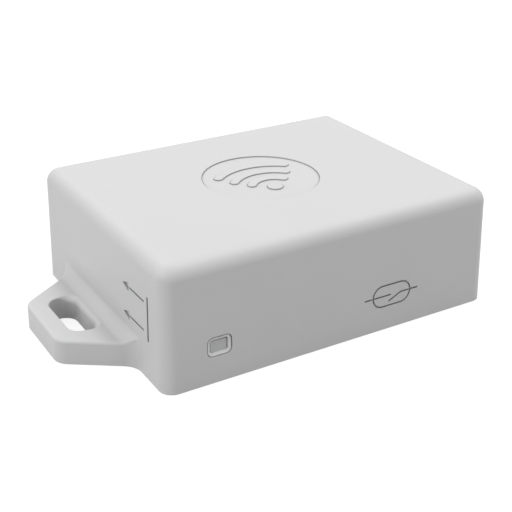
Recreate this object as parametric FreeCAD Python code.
import FreeCAD, Part
import math
import os

# Wireless sensor tag: a drafted plastic cap with a slotted hanging tab, screwed down over a flat
# base cover that carries a board, a radio, a reed switch and two lithium cells.
# Sizes are in millimetres. The origin is the centre of the base, +Z is up, the tab points to -X
# and the status window is in the -Y wall.

# Cells and their cradle
CELL_DIAMETER = 14.5
CELL_LENGTH = 50.5
CELL_CAP_HEIGHT = 1.5
CELL_CAP_RADIUS = 2.75
CELL_SPACING = 0.8
CELL_CLEARANCE = 0.3
CRADLE_FLOOR = 1.0
CRADLE_WALL = 0.8
CRADLE_WALL_HEIGHT = 6.5
CRADLE_END_WALL = 1.6
CRADLE_END_HEIGHT = 12.0
CRADLE_END_RADIUS = 3.0
CONTACT_ROOM = 2.65
CONTACT_THICKNESS = 0.4
CONTACT_WIDTH = 9.0
CONTACT_NUB_WIDTH = 4.4
LEAF_THICKNESS = 0.3
LEAF_WIDTH = 4.0
LEAF_FOOT = 1.2
LEAF_CREST = 2.0
LEAF_BEND = 0.5

# Cap
SHELL_WALL = 2.2
ROOF_THICKNESS = 2.5
DRAFT_ANGLE = 1.33
PLAN_CORNER_RADIUS = 3.0
TOP_EDGE_RADIUS = 3.3
CAVITY_CORNER_RADIUS = 2.0
RIM_WALL = 1.2
BOSS_RADIUS = 3.3
BOSS_INSET = 5.3
BOSS_TO_CRADLE = 0.7
BOSS_RIB = 1.4
PAD_THICKNESS = 1.5
PAD_LENGTH = 44.0

# Hanging tab
TAB_REACH = 13.7
TAB_THICKNESS = 5.5
TAB_END_WIDTH = 18.8
TAB_ROOT_WIDTH = 37.6
TAB_CORNER_RADIUS = 4.0
TAB_ROOT_RADIUS = 5.0
TAB_RISE_RADIUS = 3.0
TAB_SINK = 0.03
SLOT_WIDTH = 6.0
SLOT_LENGTH = 16.3
SLOT_SETBACK = 7.2

# Base cover, its seal and its screws
COVER_THICKNESS = 2.2
COVER_CLEARANCE = 0.2
LIP_HEIGHT = 2.6
LIP_THICKNESS = 2.0
LIP_CLEARANCE = 0.2
SEAL_HEIGHT = 1.1
SEAL_DEPTH = 1.1
SEAL_PROUD = 0.2
SEAL_GROOVE_SLACK = 0.1
POST_HALF_WIDTH = 4.0
COVER_RIB = 1.4
COVER_RIB_HEIGHT = 1.4
PRY_NOTCH_WIDTH = 8.0
PRY_NOTCH_DEPTH = 1.2
SCREW_RADIUS = 1.45
SCREW_FIT = 0.05
SCREW_LENGTH = 8.0
SCREW_HEAD_RADIUS = 2.75
SCREW_HEAD_HEIGHT = 1.8
SCREW_HEAD_SINK = 0.3
SCREW_HEAD_CLEARANCE = 0.25
DRIVE_WIDTH = 2.0
DRIVE_DEPTH = 1.1
SCREW_HOLE_CLEARANCE = 0.15

# Board and its screws
BOARD_THICKNESS = 1.6
BOARD_MARGIN = 2.0
BOARD_TO_BOSS = 0.5
BOARD_STANDOFF = 3.6
BOARD_TO_CRADLE_EDGE = 0.4
ELECTRONICS_STRIP = 24.6
STANDOFF_RADIUS = 2.6
STANDOFF_Y = 12.0
BOARD_SCREW_RADIUS = 1.0
BOARD_SCREW_HEAD_RADIUS = 1.9
BOARD_SCREW_HEAD_HEIGHT = 1.3
BOARD_DRIVE_WIDTH = 1.5
BOARD_DRIVE_DEPTH = 0.7
BOARD_SCREW_FIT = 0.05
BOARD_HOLE_CLEARANCE = 0.2

# Status window and lamp
WINDOW_FROM_END = 8.2
WINDOW_WIDTH = 5.5
WINDOW_HEIGHT = 4.25
WINDOW_CORNER_RADIUS = 1.2
WINDOW_GAP = 0.1
WINDOW_RIM = 0.65
WINDOW_LAND = 0.08
WINDOW_DISH = 0.4
WINDOW_FLANGE = 0.9
WINDOW_FLANGE_THICKNESS = 0.8
LAMP_WIDTH = 2.0
LAMP_DEPTH = 1.6
LAMP_HEIGHT = 1.7

# Reed switch
REED_FROM_END = 22.8
REED_LENGTH = 10.0
REED_RADIUS = 0.9
REED_GLASS_WALL = 0.25
REED_SEAL_LENGTH = 1.2
REED_LEAD_REACH = 3.0
REED_FOOT = 1.2
REED_LEAD_BEND = 0.25
REED_LEAD_FIT = 0.02
REED_BLADE_WIDTH = 0.9
REED_BLADE_THICKNESS = 0.2
REED_BLADE_GAP = 0.12
REED_BLADE_OVERLAP = 1.0
REED_SETBACK = 1.5

# Parts on the board, each placed by how far its centre lies from an end of the board, or for the middle
# ones from its middle, and how far it lies from the board's front edge
RADIO_FROM_LEFT = (17.8, 14.7)
RADIO_SIZE = (18.0, 14.0, 0.9)
SHIELD_SIZE = (15.0, 12.0, 2.2)
SHIELD_WALL = 0.3
ANTENNA_FROM_LEFT = (23.8, 3.7)
ANTENNA_LENGTH = 22.0
ANTENNA_HEIGHT = 6.0
ANTENNA_WIDTH = 3.0
ANTENNA_SHEET = 0.4
ANTENNA_BEND = 1.0
ANTENNA_FEED = 5.0
CONTROLLER_FROM_MIDDLE = (-3.0, 16.2)
CONTROLLER_SIZE = (7.0, 7.0, 0.9)
ACCELEROMETER_FROM_MIDDLE = (5.0, 7.7)
ACCELEROMETER_SIZE = (3.0, 3.0, 1.0)
THERMOMETER_FROM_RIGHT = (10.3, 3.7)
THERMOMETER_SIZE = (2.5, 2.5, 0.9)
CRYSTAL_FROM_MIDDLE = (-3.0, 9.2)
CRYSTAL_SIZE = (5.0, 3.2, 1.2)
CAPACITOR_FROM_RIGHT = (11.3, 16.7)
CAPACITOR_RADIUS = 4.0
CAPACITOR_HEIGHT = 11.5
BUTTON_FROM_RIGHT = (28.3, 16.7)
BUTTON_SIZE = (6.0, 6.0, 3.4)
PLUNGER_RADIUS = 1.7
PLUNGER_FIT = 0.1
PLUNGER_PROUD = 1.6
PLUNGER_SEATED = 1.6
PLUNGER_TRAVEL = 0.25
PLUNGER_SPARE = 0.15
HEADER_FROM_RIGHT = (20.3, 19.7)
HEADER_COLUMNS = 3
HEADER_ROWS = 2
HEADER_PITCH = 2.54
HEADER_BODY_HEIGHT = 2.5
HEADER_PIN = 0.64
HEADER_PIN_HEIGHT = 8.5
HEADER_PIN_FIT = 0.02
CHIP_SIZE = (1.6, 0.8, 0.6)
CHIP_PITCH = 2.2
CHIPS_FROM_LEFT = (27.8, 22.2)
CHIPS_FROM_MIDDLE = (-2.0, 5.2)
CHIPS_FROM_RIGHT = (27.8, 10.2)
MORE_CHIPS_FROM_RIGHT = (23.8, 13.7)
CHIP_COUNTS = (5, 3, 5, 4)

# Heights that follow from the stack of parts
BOARD_LOW = COVER_THICKNESS + BOARD_STANDOFF
BOARD_TOP = BOARD_LOW + BOARD_THICKNESS
LIP_TOP = COVER_THICKNESS + LIP_HEIGHT
CELL_RADIUS = CELL_DIAMETER / 2
CRADLE_FLOOR_TOP = BOARD_TOP + CRADLE_FLOOR
CELL_Z = CRADLE_FLOOR_TOP + CELL_CLEARANCE + CELL_RADIUS
ROOF_UNDERSIDE = CELL_Z + CELL_RADIUS + CELL_CLEARANCE + PAD_THICKNESS
SHELL_HEIGHT = ROOF_UNDERSIDE + ROOF_THICKNESS

# Plan sizes that follow from what the cap holds
CELL_PITCH = CELL_DIAMETER + CELL_SPACING
CRADLE_DEPTH = CELL_PITCH + CELL_DIAMETER + 2 * CRADLE_WALL
CONTACT_WALL_X = CELL_LENGTH / 2 + CONTACT_ROOM
CRADLE_HALF = CONTACT_WALL_X + CRADLE_END_WALL
BOSS_X = CRADLE_HALF + BOSS_TO_CRADLE + BOSS_RADIUS
HALF_LENGTH = BOSS_X + BOSS_INSET + SHELL_WALL
BOARD_DEPTH = ELECTRONICS_STRIP + CRADLE_DEPTH + BOARD_TO_CRADLE_EDGE
HALF_DEPTH = BOARD_DEPTH / 2 + BOARD_MARGIN + SHELL_WALL
BOSS_Y = HALF_DEPTH - SHELL_WALL - BOSS_INSET
BOARD_HALF_X = HALF_LENGTH - SHELL_WALL - BOARD_MARGIN
BOARD_HALF_Y = BOARD_DEPTH / 2
CRADLE_Y = BOARD_HALF_Y - BOARD_TO_CRADLE_EDGE - CRADLE_DEPTH / 2
LEAN = math.tan(math.radians(DRAFT_ANGLE))

# Sizes of the fits between cap, cover and screws
LIP_HALF_X = HALF_LENGTH - SHELL_WALL - LIP_TOP * LEAN - LIP_CLEARANCE
LIP_HALF_Y = HALF_DEPTH - SHELL_WALL - LIP_TOP * LEAN - LIP_CLEARANCE
LIP_CORNER_RADIUS = CAVITY_CORNER_RADIUS - LIP_CLEARANCE
COUNTERBORE_DEPTH = SCREW_HEAD_SINK + SCREW_HEAD_HEIGHT
STANDOFF_X = BOSS_X

# Window and reed switch heights follow the parts on the board
WINDOW_Z = BOARD_TOP + LAMP_HEIGHT / 2
REED_Z = BOARD_TOP + REED_RADIUS
REED_Y = -BOARD_HALF_Y + REED_SETBACK

# Places that follow the ends and the front edge of the board
WINDOW_X = WINDOW_FROM_END - BOARD_HALF_X
REED_X = BOARD_HALF_X - REED_FROM_END
RADIO_PLACE = (RADIO_FROM_LEFT[0] - BOARD_HALF_X, RADIO_FROM_LEFT[1] - BOARD_HALF_Y)
ANTENNA_PLACE = (ANTENNA_FROM_LEFT[0] - BOARD_HALF_X, ANTENNA_FROM_LEFT[1] - BOARD_HALF_Y)
CONTROLLER_PLACE = (CONTROLLER_FROM_MIDDLE[0], CONTROLLER_FROM_MIDDLE[1] - BOARD_HALF_Y)
ACCELEROMETER_PLACE = (ACCELEROMETER_FROM_MIDDLE[0], ACCELEROMETER_FROM_MIDDLE[1] - BOARD_HALF_Y)
CRYSTAL_PLACE = (CRYSTAL_FROM_MIDDLE[0], CRYSTAL_FROM_MIDDLE[1] - BOARD_HALF_Y)
THERMOMETER_PLACE = (BOARD_HALF_X - THERMOMETER_FROM_RIGHT[0], THERMOMETER_FROM_RIGHT[1] - BOARD_HALF_Y)
CAPACITOR_PLACE = (BOARD_HALF_X - CAPACITOR_FROM_RIGHT[0], CAPACITOR_FROM_RIGHT[1] - BOARD_HALF_Y)
BUTTON_PLACE = (BOARD_HALF_X - BUTTON_FROM_RIGHT[0], BUTTON_FROM_RIGHT[1] - BOARD_HALF_Y)
HEADER_PLACE = (BOARD_HALF_X - HEADER_FROM_RIGHT[0], HEADER_FROM_RIGHT[1] - BOARD_HALF_Y)
CHIP_ROW_PLACES = (
    (CHIPS_FROM_LEFT[0] - BOARD_HALF_X, CHIPS_FROM_LEFT[1] - BOARD_HALF_Y),
    (CHIPS_FROM_MIDDLE[0], CHIPS_FROM_MIDDLE[1] - BOARD_HALF_Y),
    (BOARD_HALF_X - CHIPS_FROM_RIGHT[0], CHIPS_FROM_RIGHT[1] - BOARD_HALF_Y),
    (BOARD_HALF_X - MORE_CHIPS_FROM_RIGHT[0], MORE_CHIPS_FROM_RIGHT[1] - BOARD_HALF_Y),
)

# Spare length by which a cutter runs past the face that it opens
OVERRUN = 1.0

# Distance within which the middle of an edge counts as lying at a place
CLOSE = 0.01
NEARBY = 0.5

UPWARDS = FreeCAD.Vector(0, 0, 1)


def vec(x, y, z):
    return FreeCAD.Vector(x, y, z)


def rounded_wire(half_x, half_y, radius, z, centre=(0.0, 0.0)):
    """Closed rectangle with an arc at each corner, lying flat at height z; a full-round end has no flat."""
    arcs = []
    for index, (x, y) in enumerate(four_places(half_x - radius, half_y - radius)):
        angles = [math.pi / 4 * (2 * index + step) for step in range(3)]
        arcs.append([
            vec(centre[0] + x + radius * math.cos(a), centre[1] + y + radius * math.sin(a), z)
            for a in angles
        ])
    edges = []
    for index, points in enumerate(arcs):
        following = arcs[(index + 1) % 4]
        edges.append(Part.Arc(*points).toShape())
        if not points[2].isEqual(following[0], CLOSE):
            edges.append(Part.LineSegment(points[2], following[0]).toShape())
    return Part.Wire(edges)


def rounded_outline(corners):
    """Flat face from corners in order, each given with the radius of its arc, or 0 to leave it sharp."""
    edges = []
    ends = []
    for index, (corner, radius) in enumerate(corners):
        back = (corners[index - 1][0] - corner).normalize()
        ahead = (corners[(index + 1) % len(corners)][0] - corner).normalize()
        if radius == 0:
            ends.append((corner, corner))
            continue
        half_angle = back.getAngle(ahead) / 2
        trim = radius / math.tan(half_angle)
        centre = corner + (back + ahead).normalize() * (radius / math.sin(half_angle))
        crest = centre + (corner - centre).normalize() * radius
        ends.append((corner + back * trim, corner + ahead * trim))
        edges.append(Part.Arc(ends[-1][0], crest, ends[-1][1]).toShape())
    for index, (start, _) in enumerate(ends):
        edges.append(Part.LineSegment(ends[index - 1][1], start).toShape())
    return Part.Face(Part.Wire(Part.sortEdges(edges)[0]))


def rounded_prism(half_x, half_y, radius, z_low, z_high, centre=(0.0, 0.0)):
    """Upright prism on a rounded rectangle."""
    face = Part.Face(rounded_wire(half_x, half_y, radius, z_low, centre))
    return face.extrude(vec(0, 0, z_high - z_low))


def beyond(point, direction):
    """Everything outside a wall at point that faces direction and leans inwards as it rises."""
    reach = 4 * HALF_LENGTH
    outside = Part.makeBox(reach, reach, reach, vec(-reach / 2, -reach / 2, 0))
    draft = math.radians(DRAFT_ANGLE)
    facing = vec(direction[0] * math.cos(draft), direction[1] * math.cos(draft), math.sin(draft))
    outside.Placement = FreeCAD.Placement(point, FreeCAD.Rotation(UPWARDS, facing))
    return outside


def drafted_block(half_x, half_y, radius, z_low, z_high):
    """Block whose sides lean inwards as they rise, sized where they would meet z = 0."""
    start = block(-half_x - OVERRUN, half_x + OVERRUN, -half_y - OVERRUN, half_y + OVERRUN, z_low, z_high)
    walls = [(half_x, 0, 1, 0), (-half_x, 0, -1, 0), (0, half_y, 0, 1), (0, -half_y, 0, -1)]
    drafted = start.cut([beyond(vec(x, y, 0), (to_x, to_y)) for x, y, to_x, to_y in walls])
    return soften(drafted, radius, lambda m: near(m.z, (z_low + z_high) / 2))


def cylinder(x, y, z_low, z_high, radius):
    return Part.makeCylinder(radius, z_high - z_low, vec(x, y, z_low))


def cylinder_along_x(x_low, x_high, y, z, radius):
    return Part.makeCylinder(radius, x_high - x_low, vec(x_low, y, z), vec(1, 0, 0))


def block(x_low, x_high, y_low, y_high, z_low, z_high):
    return Part.makeBox(x_high - x_low, y_high - y_low, z_high - z_low, vec(x_low, y_low, z_low))


def placed_block(place, size, z_low):
    """Block of the given size, centred on place in plan and standing on z_low."""
    x, y = place
    return block(x - size[0] / 2, x + size[0] / 2, y - size[1] / 2, y + size[1] / 2,
                 z_low, z_low + size[2])


def soften(solid, radius, chooser):
    """Round the edges whose middle point the chooser accepts."""
    edges = [edge for edge in solid.Edges if chooser(edge.CenterOfMass)]
    return solid.makeFillet(radius, edges)


def near(value, target, within=CLOSE):
    return abs(value - target) < within


def span(a, b):
    """The lower and the higher of two values."""
    return min(a, b), max(a, b)


def turned(points, centre, axis=UPWARDS):
    """Solid turned about an axis through centre from corners given as (radius, distance along it)."""
    across = vec(0, 1, 0)
    corners = [centre + across * radius + axis * along for radius, along in points]
    return Part.Face(Part.makePolygon(corners + corners[:1])).revolve(centre, axis, 360)


def bent_strip(points, thickness, width, y, bend):
    """Flat strip folded along points in the XZ plane with round bends, its width centred on y."""
    corners = [vec(x, y - width / 2, z) for x, z in points]
    ways = [(b - a).normalize() for a, b in zip(corners, corners[1:])]
    sides = [vec(-way.z, 0, way.x) for way in ways]
    edges = []
    ends = []
    for offset in (thickness / 2, -thickness / 2):
        here = corners[0] + sides[0] * offset
        ends.append(here)
        for index in range(1, len(ways)):
            corner = corners[index]
            angle = ways[index - 1].getAngle(ways[index])
            trim = bend * math.tan(angle / 2)
            sense = math.copysign(1, sides[index - 1].dot(ways[index]))
            centre = corner - ways[index - 1] * trim + sides[index - 1] * (sense * bend)
            radius = bend - sense * offset
            start = corner - ways[index - 1] * trim + sides[index - 1] * offset
            end = corner + ways[index] * trim + sides[index] * offset
            crown = centre + (corner - centre).normalize() * radius
            edges.append(Part.LineSegment(here, start).toShape())
            edges.append(Part.Arc(start, crown, end).toShape())
            here = end
        last = corners[-1] + sides[-1] * offset
        edges.append(Part.LineSegment(here, last).toShape())
        ends.append(last)
    edges.append(Part.LineSegment(ends[0], ends[2]).toShape())
    edges.append(Part.LineSegment(ends[1], ends[3]).toShape())
    outline = Part.Wire(Part.sortEdges(edges)[0])
    return Part.Face(outline).extrude(vec(0, width, 0))


def hexagonal_socket(x, y, width, z_low, z_high):
    """Six-sided hole for a driver, measured across its flats."""
    corner = width / math.sqrt(3)
    angles = [math.radians(60 * step) for step in range(7)]
    points = [vec(x + corner * math.cos(a), y + corner * math.sin(a), z_low) for a in angles]
    return Part.Face(Part.makePolygon(points)).extrude(vec(0, 0, z_high - z_low))


def four_places(x, y):
    return [(x, y), (-x, y), (-x, -y), (x, -y)]


def fused(solids):
    """One solid from several that overlap."""
    whole = solids[0]
    for solid in solids[1:]:
        whole = whole.fuse(solid)
    return whole.removeSplitter()


def on_front_wall(solid):
    """Move a form drawn flat, with +Z outwards, on to the leaning front wall at the window."""
    point = vec(WINDOW_X, -(HALF_DEPTH - WINDOW_Z * LEAN), WINDOW_Z)
    turn = FreeCAD.Rotation(vec(1, 0, 0), 90 - DRAFT_ANGLE)
    solid.Placement = FreeCAD.Placement(point, turn)
    return solid


# Cap with its tab, bosses and window hole
def make_tab():
    """Tab that widens in plan towards the wall and rises into it, drafted as the wall is.

    Its round root corners and its rise reach a little into the wall, so they cross its face."""
    end_x = -HALF_LENGTH - TAB_REACH
    end_y = TAB_END_WIDTH / 2
    sunk_x = -HALF_LENGTH + TAB_SINK
    root_y = TAB_ROOT_WIDTH / 2
    hidden_x = -HALF_LENGTH + SHELL_WALL / 2
    hidden_y = root_y + 2 * TAB_ROOT_RADIUS
    side = [(hidden_x, hidden_y, 0), (sunk_x, hidden_y, 0), (sunk_x, root_y, TAB_ROOT_RADIUS),
            (end_x, end_y, TAB_CORNER_RADIUS)]
    other_side = [(x, -y, radius) for x, y, radius in reversed(side)]
    plan = rounded_outline([(vec(x, y, 0), radius) for x, y, radius in side + other_side])
    top = TAB_THICKNESS + 2 * TAB_RISE_RADIUS
    tab = plan.extrude(vec(top * LEAN, 0, top))

    def in_wall(z):
        return vec(sunk_x + z * LEAN, -hidden_y - OVERRUN, z)
    outside = vec(end_x - OVERRUN, -hidden_y - OVERRUN, TAB_THICKNESS)
    above = vec(outside.x, outside.y, top + OVERRUN)
    profile = rounded_outline([(outside, 0), (in_wall(TAB_THICKNESS), TAB_RISE_RADIUS),
                               (in_wall(top + OVERRUN), 0), (above, 0)])
    return tab.cut(profile.extrude(vec(0, 2 * (hidden_y + OVERRUN), 0)))


def make_outer_form():
    """Outside of the cap: drafted body, rounded top edge, and the tab blended into its wall."""
    body = drafted_block(HALF_LENGTH, HALF_DEPTH, PLAN_CORNER_RADIUS, 0, SHELL_HEIGHT)
    body = soften(body, TOP_EDGE_RADIUS, lambda m: near(m.z, SHELL_HEIGHT))
    return body.fuse(make_tab()).removeSplitter()


def make_housing_shell():
    shell = make_outer_form()
    cavity = drafted_block(HALF_LENGTH - SHELL_WALL, HALF_DEPTH - SHELL_WALL, CAVITY_CORNER_RADIUS,
                           COVER_THICKNESS - OVERRUN, ROOF_UNDERSIDE)
    recess = rounded_prism(HALF_LENGTH - RIM_WALL, HALF_DEPTH - RIM_WALL,
                           PLAN_CORNER_RADIUS - RIM_WALL, -OVERRUN, COVER_THICKNESS)
    shell = shell.cut([cavity, recess])

    slot_x = -HALF_LENGTH - TAB_REACH + SLOT_SETBACK
    slot = rounded_prism(SLOT_WIDTH / 2, SLOT_LENGTH / 2, SLOT_WIDTH / 2,
                         -OVERRUN, TAB_THICKNESS + OVERRUN, (slot_x, 0.0))
    shell = shell.cut(slot)

    boss_top = ROOF_UNDERSIDE + ROOF_THICKNESS / 2
    pilot_top = COUNTERBORE_DEPTH + SCREW_LENGTH + OVERRUN
    added = []
    removed = []
    for x, y in four_places(BOSS_X, BOSS_Y):
        added.append(cylinder(x, y, LIP_TOP, boss_top, BOSS_RADIUS))
        in_wall = SHELL_WALL / 2 + SHELL_HEIGHT * LEAN
        rib_x = span(x, math.copysign(HALF_LENGTH - in_wall, x))
        rib_y = span(y, math.copysign(HALF_DEPTH - in_wall, y))
        rib_z = (LIP_TOP + LIP_CLEARANCE, boss_top)
        added.append(block(*rib_x, y - BOSS_RIB / 2, y + BOSS_RIB / 2, *rib_z))
        added.append(block(x - BOSS_RIB / 2, x + BOSS_RIB / 2, *rib_y, *rib_z))
        removed.append(cylinder(x, y, LIP_TOP - OVERRUN, pilot_top, SCREW_RADIUS + SCREW_FIT))
    hole = rounded_prism(WINDOW_WIDTH / 2 + WINDOW_GAP, WINDOW_HEIGHT / 2 + WINDOW_GAP,
                         WINDOW_CORNER_RADIUS + WINDOW_GAP, -SHELL_WALL - OVERRUN, OVERRUN)
    removed.append(on_front_wall(hole))
    return fused([shell] + added).cut(removed)


def make_status_window():
    """Window with a dished face, held by a flange that lies against the inside of the wall."""
    wall = SHELL_WALL * math.cos(math.radians(DRAFT_ANGLE))
    half_w = WINDOW_WIDTH / 2
    half_h = WINDOW_HEIGHT / 2
    pane = rounded_prism(half_w, half_h, WINDOW_CORNER_RADIUS, -wall, 0)
    reach_x = half_w + WINDOW_FLANGE
    reach_y = half_h + WINDOW_FLANGE
    flange = block(-reach_x, reach_x, -reach_y, reach_y, -wall - WINDOW_FLANGE_THICKNESS, -wall)
    floor_inset = WINDOW_LAND + WINDOW_RIM
    dish = Part.makeLoft([
        rounded_wire(half_w - WINDOW_LAND, half_h - WINDOW_LAND, WINDOW_CORNER_RADIUS - WINDOW_LAND, 0),
        rounded_wire(half_w - floor_inset, half_h - floor_inset, WINDOW_CORNER_RADIUS - floor_inset,
                     -WINDOW_DISH),
    ], True, True)
    return on_front_wall(fused([pane, flange]).cut(dish))


def make_cell_foam_pad():
    half_y = (CELL_PITCH + CELL_RADIUS) / 2
    low = ROOF_UNDERSIDE - PAD_THICKNESS
    return block(-PAD_LENGTH / 2, PAD_LENGTH / 2, CRADLE_Y - half_y, CRADLE_Y + half_y, low, ROOF_UNDERSIDE)


# Base cover, seal and screws
def make_base_cover():
    inset = RIM_WALL + COVER_CLEARANCE
    plate = rounded_prism(HALF_LENGTH - inset, HALF_DEPTH - inset, PLAN_CORNER_RADIUS - inset,
                          0, COVER_THICKNESS)
    rim = rounded_prism(LIP_HALF_X, LIP_HALF_Y, LIP_CORNER_RADIUS, COVER_THICKNESS, LIP_TOP)
    hollow = rounded_prism(LIP_HALF_X - LIP_THICKNESS, LIP_HALF_Y - LIP_THICKNESS, LIP_CORNER_RADIUS / 2,
                           COVER_THICKNESS, LIP_TOP)
    mid_lip = rounded_prism(LIP_HALF_X - LIP_THICKNESS / 2, LIP_HALF_Y - LIP_THICKNESS / 2,
                            LIP_CORNER_RADIUS / 2, COVER_THICKNESS, LIP_TOP)
    lip = rim.cut(hollow)
    added = [plate, lip]
    removed = [make_seal_groove()]
    rib_top = COVER_THICKNESS + COVER_RIB_HEIGHT
    added.append(block(-LIP_HALF_X + LIP_THICKNESS / 2, LIP_HALF_X - LIP_THICKNESS / 2,
                       -COVER_RIB / 2, COVER_RIB / 2, COVER_THICKNESS, rib_top))
    for x in (-STANDOFF_X / 2, 0.0, STANDOFF_X / 2):
        added.append(block(x - COVER_RIB / 2, x + COVER_RIB / 2, -LIP_HALF_Y + LIP_THICKNESS / 2,
                           LIP_HALF_Y - LIP_THICKNESS / 2, COVER_THICKNESS, rib_top))
    for x, y in four_places(BOSS_X, BOSS_Y):
        post = block(x - POST_HALF_WIDTH, x + POST_HALF_WIDTH, y - POST_HALF_WIDTH, y + POST_HALF_WIDTH,
                     COVER_THICKNESS, LIP_TOP)
        added.append(post.common(mid_lip))
        removed.append(cylinder(x, y, -OVERRUN, COUNTERBORE_DEPTH, SCREW_HEAD_RADIUS + SCREW_HEAD_CLEARANCE))
        removed.append(cylinder(x, y, 0, LIP_TOP + OVERRUN, SCREW_RADIUS + SCREW_HOLE_CLEARANCE))
    for x, y in four_places(STANDOFF_X, STANDOFF_Y):
        added.append(cylinder(x, y, COVER_THICKNESS, BOARD_LOW, STANDOFF_RADIUS))
    for x, y in board_screw_places():
        removed.append(cylinder(x, y, COVER_THICKNESS, BOARD_LOW + OVERRUN,
                                BOARD_SCREW_RADIUS + BOARD_SCREW_FIT))
    removed.append(block(-PRY_NOTCH_WIDTH / 2, PRY_NOTCH_WIDTH / 2, -HALF_DEPTH,
                         -HALF_DEPTH + inset + PRY_NOTCH_DEPTH, -OVERRUN, COVER_THICKNESS / 2))
    return fused(added).cut(removed)


def seal_heights(slack):
    """Lowest and highest level of the seal, opened by slack in all."""
    middle = COVER_THICKNESS + LIP_HEIGHT / 2
    half = (SEAL_HEIGHT + slack) / 2
    return middle - half, middle + half


def make_seal_groove():
    depth = SEAL_DEPTH - SEAL_PROUD
    heights = seal_heights(SEAL_GROOVE_SLACK)
    outside = rounded_prism(LIP_HALF_X + OVERRUN, LIP_HALF_Y + OVERRUN, LIP_CORNER_RADIUS + OVERRUN,
                            *heights)
    core = rounded_prism(LIP_HALF_X - depth, LIP_HALF_Y - depth, LIP_CORNER_RADIUS - depth, *heights)
    return outside.cut(core)


def make_cover_seal():
    depth = SEAL_DEPTH - SEAL_PROUD
    heights = seal_heights(0)
    ring = rounded_prism(LIP_HALF_X + SEAL_PROUD, LIP_HALF_Y + SEAL_PROUD,
                         LIP_CORNER_RADIUS + SEAL_PROUD, *heights)
    hole = rounded_prism(LIP_HALF_X - depth, LIP_HALF_Y - depth, LIP_CORNER_RADIUS - depth, *heights)
    return ring.cut(hole)


def make_cover_screws():
    screws = []
    neck = SCREW_HEAD_SINK + SCREW_HEAD_HEIGHT
    tip = neck + SCREW_LENGTH
    profile = [
        (0, SCREW_HEAD_SINK),
        (SCREW_HEAD_RADIUS, SCREW_HEAD_SINK),
        (SCREW_HEAD_RADIUS, neck),
        (SCREW_RADIUS, neck),
        (SCREW_RADIUS, tip),
        (0, tip),
    ]
    for x, y in four_places(BOSS_X, BOSS_Y):
        socket = hexagonal_socket(x, y, DRIVE_WIDTH, 0, SCREW_HEAD_SINK + DRIVE_DEPTH)
        screws.append(turned(profile, vec(x, y, 0)).cut(socket))
    return Part.makeCompound(screws)


# Board and its screws
def board_screw_places():
    """Two of the four standoffs, on a diagonal."""
    return four_places(STANDOFF_X, STANDOFF_Y)[::2]


def make_main_board():
    board = block(-BOARD_HALF_X, BOARD_HALF_X, -BOARD_HALF_Y, BOARD_HALF_Y, BOARD_LOW, BOARD_TOP)
    notch_x = BOSS_X - BOSS_RADIUS - BOARD_TO_BOSS
    notch_y = BOSS_Y - BOSS_RADIUS - BOARD_TO_BOSS
    removed = []
    for x, y in four_places(1, 1):
        notch = [span(x * notch_x, x * HALF_LENGTH), span(y * notch_y, y * HALF_DEPTH)]
        removed.append(block(*notch[0], *notch[1], BOARD_LOW, BOARD_TOP))
    for x, y in board_screw_places():
        removed.append(cylinder(x, y, BOARD_LOW, BOARD_TOP, BOARD_SCREW_RADIUS + BOARD_HOLE_CLEARANCE))
    return board.cut(removed)


def make_board_screws():
    screws = []
    head_top = BOARD_TOP + BOARD_SCREW_HEAD_HEIGHT
    profile = [
        (0, head_top),
        (BOARD_SCREW_HEAD_RADIUS, head_top),
        (BOARD_SCREW_HEAD_RADIUS, BOARD_TOP),
        (BOARD_SCREW_RADIUS, BOARD_TOP),
        (BOARD_SCREW_RADIUS, COVER_THICKNESS + OVERRUN / 2),
        (0, COVER_THICKNESS + OVERRUN / 2),
    ]
    for x, y in board_screw_places():
        socket = hexagonal_socket(x, y, BOARD_DRIVE_WIDTH, head_top - BOARD_DRIVE_DEPTH, head_top)
        screws.append(turned(profile, vec(x, y, 0)).cut(socket))
    return Part.makeCompound(screws)


# Cradle, contacts and cells
def cell_places():
    """Y of each cell and the side, +1 or -1 along X, on which its cap lies."""
    return {"front": (CRADLE_Y - CELL_PITCH / 2, 1), "rear": (CRADLE_Y + CELL_PITCH / 2, -1)}


def make_battery_holder():
    half_y = CRADLE_DEPTH / 2
    low_y = CRADLE_Y - half_y
    high_y = CRADLE_Y + half_y
    end_top = CRADLE_FLOOR_TOP + CRADLE_END_HEIGHT
    saddle_top = CRADLE_FLOOR_TOP + CRADLE_WALL_HEIGHT
    saddle = block(-CRADLE_HALF, CRADLE_HALF, low_y, high_y, BOARD_TOP, saddle_top)
    ends = []
    for side in (-1, 1):
        wall_x = span(side * CRADLE_HALF, side * CONTACT_WALL_X)
        ends.append(block(*wall_x, low_y, high_y, BOARD_TOP, end_top))
    holder = fused([saddle] + ends)
    holder = soften(holder, CRADLE_END_RADIUS,
                    lambda m: near(m.z, end_top) and near(abs(m.y - CRADLE_Y), half_y))
    removed = []
    for y, side in cell_places().values():
        removed.append(cylinder_along_x(-CONTACT_WALL_X, CONTACT_WALL_X, y, CELL_Z,
                                        CELL_RADIUS + CELL_CLEARANCE))
    return holder.cut(removed)


def make_holder_contacts():
    """Plate against each end wall: a raised nub faces a cell's cap, a bare plate carries a spring."""
    plates = []
    half = CONTACT_WIDTH / 2
    for y, side in cell_places().values():
        for end in (-1, 1):
            wall = end * CONTACT_WALL_X
            plate_x = span(wall, end * (CONTACT_WALL_X - CONTACT_THICKNESS))
            plate = block(*plate_x, y - half, y + half, CELL_Z - half, CELL_Z + half)
            if end == side:
                nub_x = span(wall, end * (CELL_LENGTH / 2 + CELL_CLEARANCE))
                reach = CONTACT_NUB_WIDTH / 2
                nub = block(*nub_x, y - reach, y + reach, CELL_Z - reach, CELL_Z + reach)
                plate = fused([plate, nub])
            plates.append(plate)
    return Part.makeCompound(plates)


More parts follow.
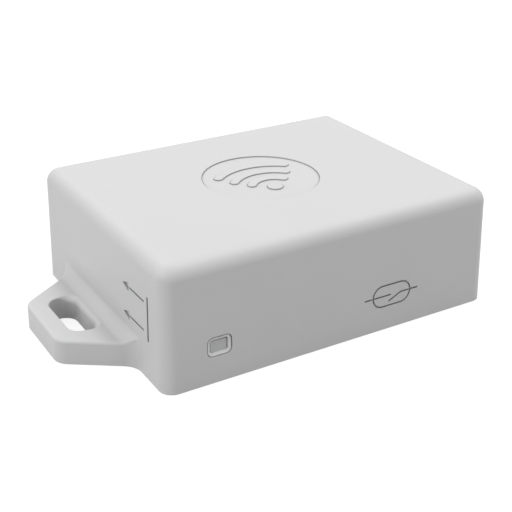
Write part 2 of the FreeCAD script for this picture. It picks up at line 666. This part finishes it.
def make_holder_springs():
    """Leaf springs that bow from their plates towards the flat ends of the cells."""
    springs = []
    foot_x = CONTACT_WALL_X - CONTACT_THICKNESS - LEAF_THICKNESS / 2
    crest_x = CELL_LENGTH / 2 + CELL_CLEARANCE + LEAF_THICKNESS / 2
    low = CELL_Z - CONTACT_WIDTH / 2
    high = CELL_Z + CONTACT_WIDTH / 2
    for y, side in cell_places().values():
        points = [
            (-side * foot_x, low),
            (-side * foot_x, low + LEAF_FOOT),
            (-side * crest_x, CELL_Z - LEAF_CREST / 2),
            (-side * crest_x, CELL_Z + LEAF_CREST / 2),
            (-side * foot_x, high - LEAF_FOOT),
            (-side * foot_x, high),
        ]
        springs.append(bent_strip(points, LEAF_THICKNESS, LEAF_WIDTH, y, LEAF_BEND))
    return Part.makeCompound(springs)


def make_cell_can(y, side):
    can_x = span(-side * CELL_LENGTH / 2, side * (CELL_LENGTH / 2 - CELL_CAP_HEIGHT))
    return cylinder_along_x(*can_x, y, CELL_Z, CELL_RADIUS)


def make_cell_cap(y, side):
    cap_x = span(side * CELL_LENGTH / 2, side * (CELL_LENGTH / 2 - CELL_CAP_HEIGHT))
    return cylinder_along_x(*cap_x, y, CELL_Z, CELL_CAP_RADIUS)


# Parts on the board
def make_radio_shield():
    low = BOARD_TOP + RADIO_SIZE[2]
    can = placed_block(RADIO_PLACE, SHIELD_SIZE, low)
    inside = [length - 2 * SHIELD_WALL for length in SHIELD_SIZE[:2]] + [SHIELD_SIZE[2] - SHIELD_WALL]
    return can.cut(placed_block(RADIO_PLACE, inside, low))


def make_antenna():
    """Strip folded down at one end, with a second leg near it that feeds the strip."""
    x, y = ANTENNA_PLACE
    left = x - ANTENNA_LENGTH / 2
    right = x + ANTENNA_LENGTH / 2
    top = BOARD_TOP + ANTENNA_HEIGHT
    half = ANTENNA_WIDTH / 2
    outer = block(left, right, y - half, y + half, BOARD_TOP, top)
    outer = soften(outer, ANTENNA_BEND, lambda m: near(m.x, left) and near(m.z, top))
    inner_left = left + ANTENNA_SHEET
    inner_top = top - ANTENNA_SHEET
    inner = block(inner_left, right + OVERRUN, y - half, y + half, BOARD_TOP - OVERRUN, inner_top)
    inner = soften(inner, ANTENNA_BEND - ANTENNA_SHEET,
                   lambda m: near(m.x, inner_left) and near(m.z, inner_top))
    feed_x = left + ANTENNA_FEED
    leg_top = top - ANTENNA_SHEET / 2
    feed = block(feed_x, feed_x + ANTENNA_SHEET, y - half / 2, y + half / 2, BOARD_TOP, leg_top)
    rest = block(right - ANTENNA_SHEET, right, y - half / 2, y + half / 2, BOARD_TOP, leg_top)
    return fused([outer.cut(inner), feed, rest])


def make_status_led():
    """Side-looking lamp whose lens faces the window."""
    front = -BOARD_HALF_Y
    body = block(WINDOW_X - LAMP_WIDTH / 2, WINDOW_X + LAMP_WIDTH / 2, front + LAMP_DEPTH / 2,
                 front + LAMP_DEPTH, BOARD_TOP, BOARD_TOP + LAMP_HEIGHT)
    lens = cylinder(WINDOW_X, front + LAMP_DEPTH / 2, BOARD_TOP, BOARD_TOP + LAMP_HEIGHT, LAMP_DEPTH / 2)
    return fused([body, lens])


def reed_blade_z(side):
    """Height of the middle of a blade; the two lie one above the other with a gap between them."""
    return REED_Z + side * (REED_BLADE_GAP + REED_BLADE_THICKNESS) / 2


def make_reed_glass():
    half = REED_LENGTH / 2
    glass = cylinder_along_x(REED_X - half, REED_X + half, REED_Y, REED_Z, REED_RADIUS)
    chamber_half = half - REED_SEAL_LENGTH
    removed = [cylinder_along_x(REED_X - chamber_half, REED_X + chamber_half, REED_Y, REED_Z,
                                REED_RADIUS - REED_GLASS_WALL)]
    for side in (-1, 1):
        hole_x = span(REED_X, REED_X + side * half)
        half_y = REED_BLADE_WIDTH / 2 + REED_LEAD_FIT
        half_z = REED_BLADE_THICKNESS / 2 + REED_LEAD_FIT
        z = reed_blade_z(side)
        removed.append(block(*hole_x, REED_Y - half_y, REED_Y + half_y, z - half_z, z + half_z))
    return glass.cut(removed)


def make_reed_blades():
    """Two springy flat leads that lap inside the glass and step down outside it to a foot on the board."""
    blades = []
    for side in (-1, 1):
        foot_end = REED_X + side * (REED_LENGTH / 2 + REED_LEAD_REACH)
        step_x = foot_end - side * REED_FOOT
        foot_z = BOARD_TOP + REED_BLADE_THICKNESS / 2
        z = reed_blade_z(side)
        points = [
            (foot_end, foot_z),
            (step_x, foot_z),
            (step_x - side * (z - foot_z), z),
            (REED_X - side * REED_BLADE_OVERLAP / 2, z),
        ]
        blades.append(bent_strip(points, REED_BLADE_THICKNESS, REED_BLADE_WIDTH, REED_Y, REED_LEAD_BEND))
    return Part.makeCompound(blades)


def make_button_body():
    x, y = BUTTON_PLACE
    top = BOARD_TOP + BUTTON_SIZE[2]
    body = placed_block(BUTTON_PLACE, BUTTON_SIZE, BOARD_TOP)
    well_low = top - PLUNGER_SEATED - PLUNGER_TRAVEL - PLUNGER_SPARE
    return body.cut(cylinder(x, y, well_low, top + OVERRUN, PLUNGER_RADIUS + PLUNGER_FIT))


def make_button_plunger():
    x, y = BUTTON_PLACE
    top = BOARD_TOP + BUTTON_SIZE[2]
    return cylinder(x, y, top - PLUNGER_SEATED, top + PLUNGER_PROUD, PLUNGER_RADIUS)


def make_buffer_capacitor():
    x, y = CAPACITOR_PLACE
    return cylinder(x, y, BOARD_TOP, BOARD_TOP + CAPACITOR_HEIGHT, CAPACITOR_RADIUS)


def header_pin_places():
    x, y = HEADER_PLACE
    places = []
    first_x = x - (HEADER_COLUMNS - 1) / 2 * HEADER_PITCH
    first_y = y - (HEADER_ROWS - 1) / 2 * HEADER_PITCH
    for column in range(HEADER_COLUMNS):
        for row in range(HEADER_ROWS):
            places.append((first_x + column * HEADER_PITCH, first_y + row * HEADER_PITCH))
    return places


def make_header_body():
    size = (HEADER_COLUMNS * HEADER_PITCH, HEADER_ROWS * HEADER_PITCH, HEADER_BODY_HEIGHT)
    hole_width = HEADER_PIN + 2 * HEADER_PIN_FIT
    hole = (hole_width, hole_width, HEADER_BODY_HEIGHT)
    body = placed_block(HEADER_PLACE, size, BOARD_TOP)
    return body.cut([placed_block(place, hole, BOARD_TOP) for place in header_pin_places()])


def make_header_pins():
    size = (HEADER_PIN, HEADER_PIN, HEADER_PIN_HEIGHT)
    return Part.makeCompound([placed_block(place, size, BOARD_TOP) for place in header_pin_places()])


def make_passive_chips():
    chips = []
    for (x, y), count in zip(CHIP_ROW_PLACES, CHIP_COUNTS):
        for index in range(count):
            chips.append(placed_block((x + index * CHIP_PITCH, y), CHIP_SIZE, BOARD_TOP))
    return Part.makeCompound(chips)


def make_parts():
    parts = {
        "housing_shell": make_housing_shell(),
        "status_window": make_status_window(),
        "cell_foam_pad": make_cell_foam_pad(),
        "base_cover": make_base_cover(),
        "cover_seal": make_cover_seal(),
        "cover_screws": make_cover_screws(),
        "main_board": make_main_board(),
        "board_screws": make_board_screws(),
        "battery_holder": make_battery_holder(),
        "holder_contacts": make_holder_contacts(),
        "holder_springs": make_holder_springs(),
        "radio_board": placed_block(RADIO_PLACE, RADIO_SIZE, BOARD_TOP),
        "radio_shield": make_radio_shield(),
        "antenna": make_antenna(),
        "microcontroller_chip": placed_block(CONTROLLER_PLACE, CONTROLLER_SIZE, BOARD_TOP),
        "accelerometer_chip": placed_block(ACCELEROMETER_PLACE, ACCELEROMETER_SIZE, BOARD_TOP),
        "temperature_sensor": placed_block(THERMOMETER_PLACE, THERMOMETER_SIZE, BOARD_TOP),
        "clock_crystal": placed_block(CRYSTAL_PLACE, CRYSTAL_SIZE, BOARD_TOP),
        "status_led": make_status_led(),
        "reed_glass": make_reed_glass(),
        "reed_blades": make_reed_blades(),
        "button_body": make_button_body(),
        "button_plunger": make_button_plunger(),
        "buffer_capacitor": make_buffer_capacitor(),
        "header_body": make_header_body(),
        "header_pins": make_header_pins(),
        "passive_chips": make_passive_chips(),
    }
    for name, (y, side) in cell_places().items():
        parts["cell_" + name + "_can"] = make_cell_can(y, side)
        parts["cell_" + name + "_cap"] = make_cell_cap(y, side)
    return parts


os.makedirs("parts", exist_ok=True)
for name, shape in make_parts().items():
    shape.exportStep("parts/" + name + ".step")
    box = shape.BoundBox
    size = [round(length, 2) for length in (box.XLength, box.YLength, box.ZLength)]
    print(name, len(shape.Solids), "solids, valid", shape.isValid(), "volume", round(shape.Volume, 1), size)
